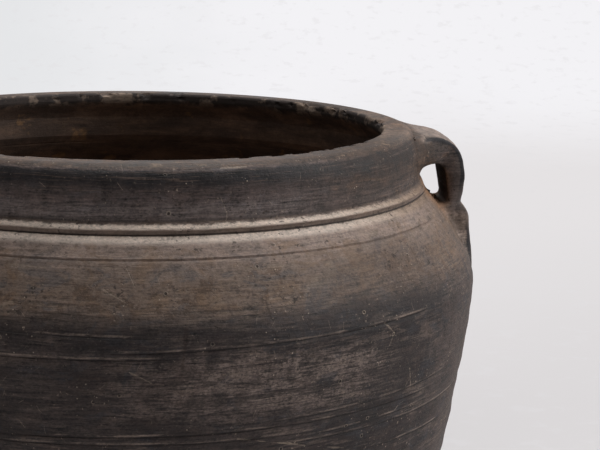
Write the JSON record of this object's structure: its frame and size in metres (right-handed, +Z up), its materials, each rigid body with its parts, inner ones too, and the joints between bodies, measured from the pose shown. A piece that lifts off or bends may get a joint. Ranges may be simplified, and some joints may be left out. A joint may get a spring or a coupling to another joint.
{
  "type": "handled clay jar",
  "caption": "Round-bodied open black clay jar with a heavy rolled rim, raised neck cordon, flat base and strap handles luted between rim and shoulder.",
  "frame": {"origin": "middle of the flat resting face, on the jar's turning axis", "axes": "+Z up along the turning axis, +X towards one handle and -X towards the other"},
  "size_m": [0.3866, 0.382, 0.35],
  "materials": {
    "clay_dark": "smoked black clay, dull burnish with horizontal polishing marks",
    "clay_mid": "dark grey-brown clay, matt, smeared and pitted",
    "clay_worn": "worn taupe-grey clay, rubbed pale on the raised edges",
    "clay_strap": "dark finger-smoothed clay with a rusty tint at the roots"
  },
  "bodies": {
    "root": {"base_disc": "clay_mid", "foot_course": "clay_mid", "lower_course": "clay_mid", "belly_course": "clay_dark", "shoulder_course": "clay_worn", "collar": "clay_dark", "neck_cordon": "clay_worn", "rim_lip": "clay_dark", "handle_strap_right": "clay_strap", "handle_foot_right": "clay_worn", "handle_strap_left": "clay_strap", "handle_foot_left": "clay_worn"}
  },
  "joints": []
}
